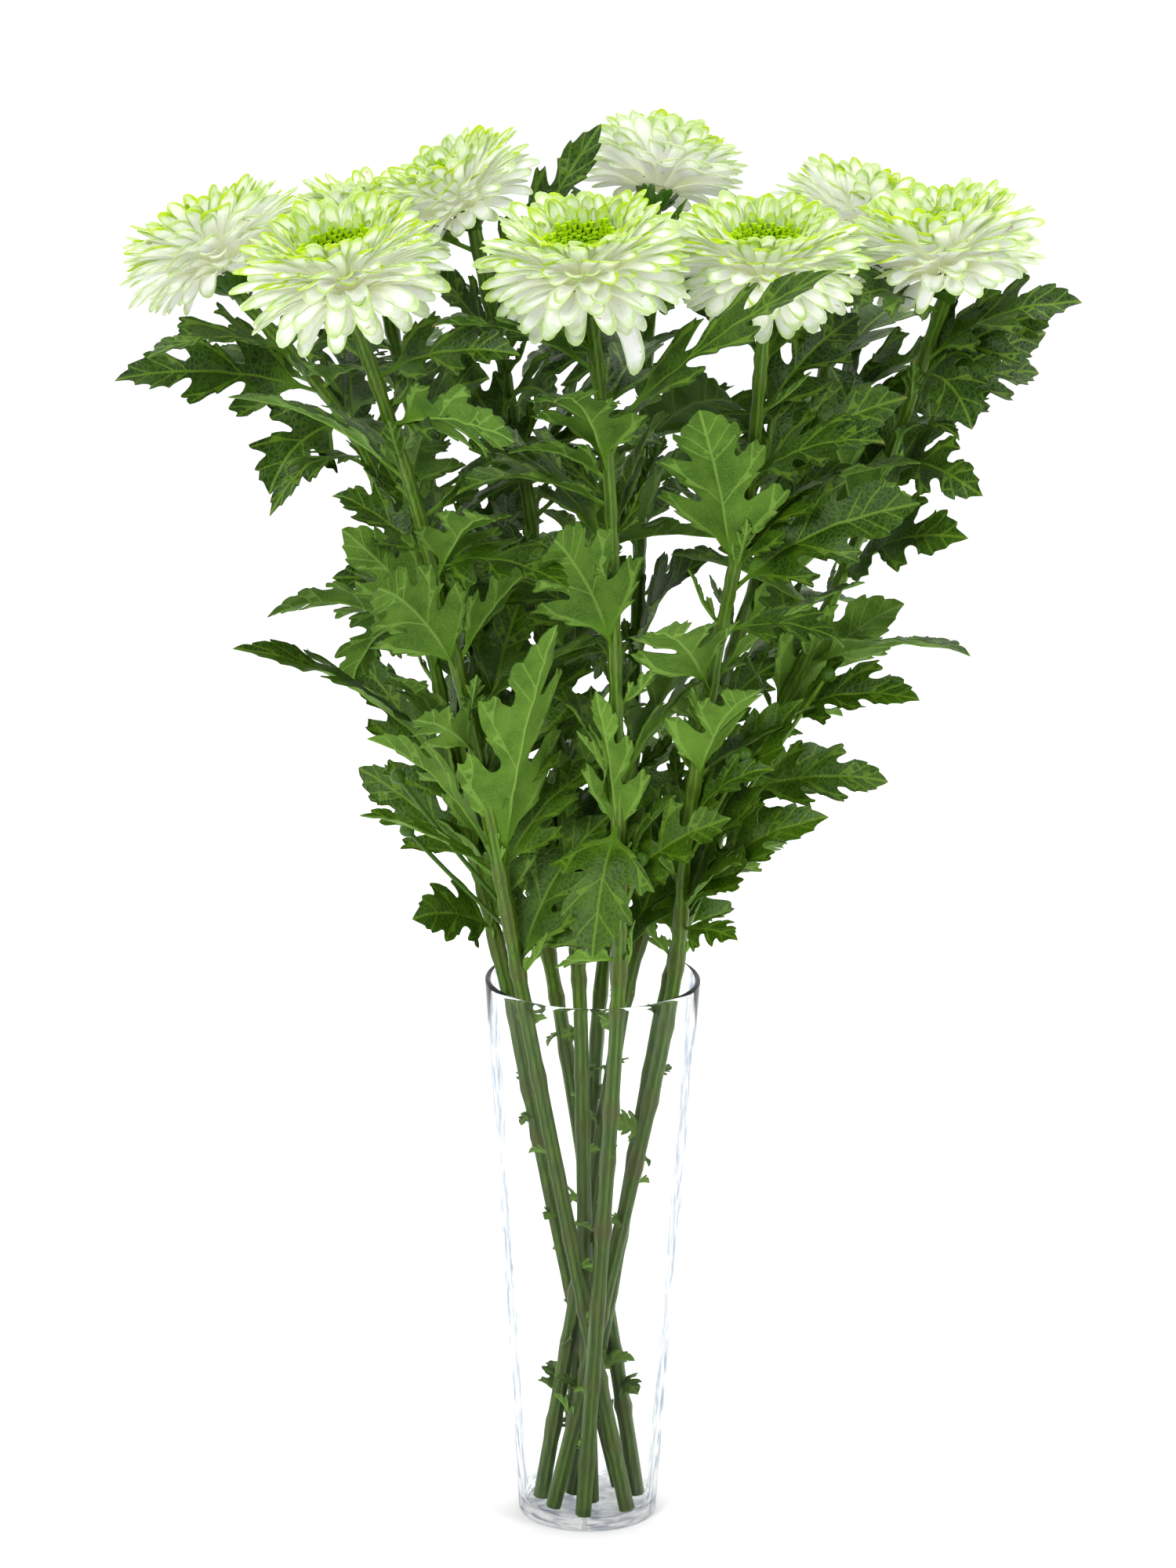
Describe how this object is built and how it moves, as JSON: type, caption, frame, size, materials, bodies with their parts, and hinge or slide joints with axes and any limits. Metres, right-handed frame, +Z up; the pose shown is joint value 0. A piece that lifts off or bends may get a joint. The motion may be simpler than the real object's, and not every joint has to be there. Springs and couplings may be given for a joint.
{
  "type": "chrysanthemums in a vase",
  "caption": "Conical clear glass vase holding tall leafy chrysanthemum stems with large white, green-tipped double flower heads.",
  "frame": {"origin": "centre of the vase's flat underside, on the surface that it stands on", "axes": "+Z up, +X to the right and -Y towards the viewer of the picture"},
  "size_m": [0.4852, 0.3525, 0.7452],
  "materials": {
    "clear_glass": "clear, polished",
    "leaf_green": "satin, ribbed stems and veined leaves",
    "petal_white": "soft matte, green towards the tips",
    "heart_green": "soft matte"
  },
  "bodies": {
    "root": {"vase": "clear_glass", "leafy_stem_1": "leaf_green", "bloom_1": "petal_white", "heart_1": "heart_green", "leafy_stem_2": "leaf_green", "bloom_2": "petal_white", "heart_2": "heart_green", "leafy_stem_3": "leaf_green", "bloom_3": "petal_white", "heart_3": "heart_green", "leafy_stem_4": "leaf_green", "bloom_4": "petal_white", "heart_4": "heart_green", "leafy_stem_5": "leaf_green", "bloom_5": "petal_white", "heart_5": "heart_green", "leafy_stem_6": "leaf_green", "bloom_6": "petal_white", "heart_6": "heart_green", "leafy_stem_7": "leaf_green", "bloom_7": "petal_white", "heart_7": "heart_green", "leafy_stem_8": "leaf_green", "bloom_8": "petal_white", "heart_8": "heart_green", "leafy_stem_9": "leaf_green", "bloom_9": "petal_white", "heart_9": "heart_green"}
  },
  "joints": []
}
